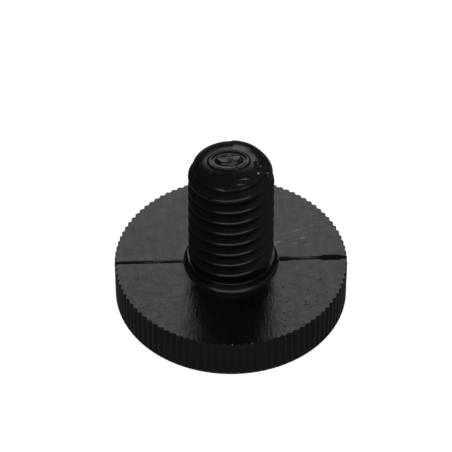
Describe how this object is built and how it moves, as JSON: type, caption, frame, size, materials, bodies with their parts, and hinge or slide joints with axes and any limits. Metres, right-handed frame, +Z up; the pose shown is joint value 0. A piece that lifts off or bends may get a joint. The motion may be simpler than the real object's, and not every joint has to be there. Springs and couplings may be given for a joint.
{
  "type": "thumb screw",
  "caption": "Moulded thumb screw with a thin round head, a finely knurled rim and a right-hand threaded stud with a rounded tip.",
  "frame": {"origin": "middle of the head's flat underside", "axes": "+Z up the stud from the head; X along the mould's parting line"},
  "size_m": [0.0162, 0.0162, 0.0126],
  "materials": {
    "black_nylon": "black moulded nylon, satin gloss with flow marks and fine scratches"
  },
  "bodies": {
    "root": {"thumb_screw": "black_nylon"}
  },
  "joints": []
}
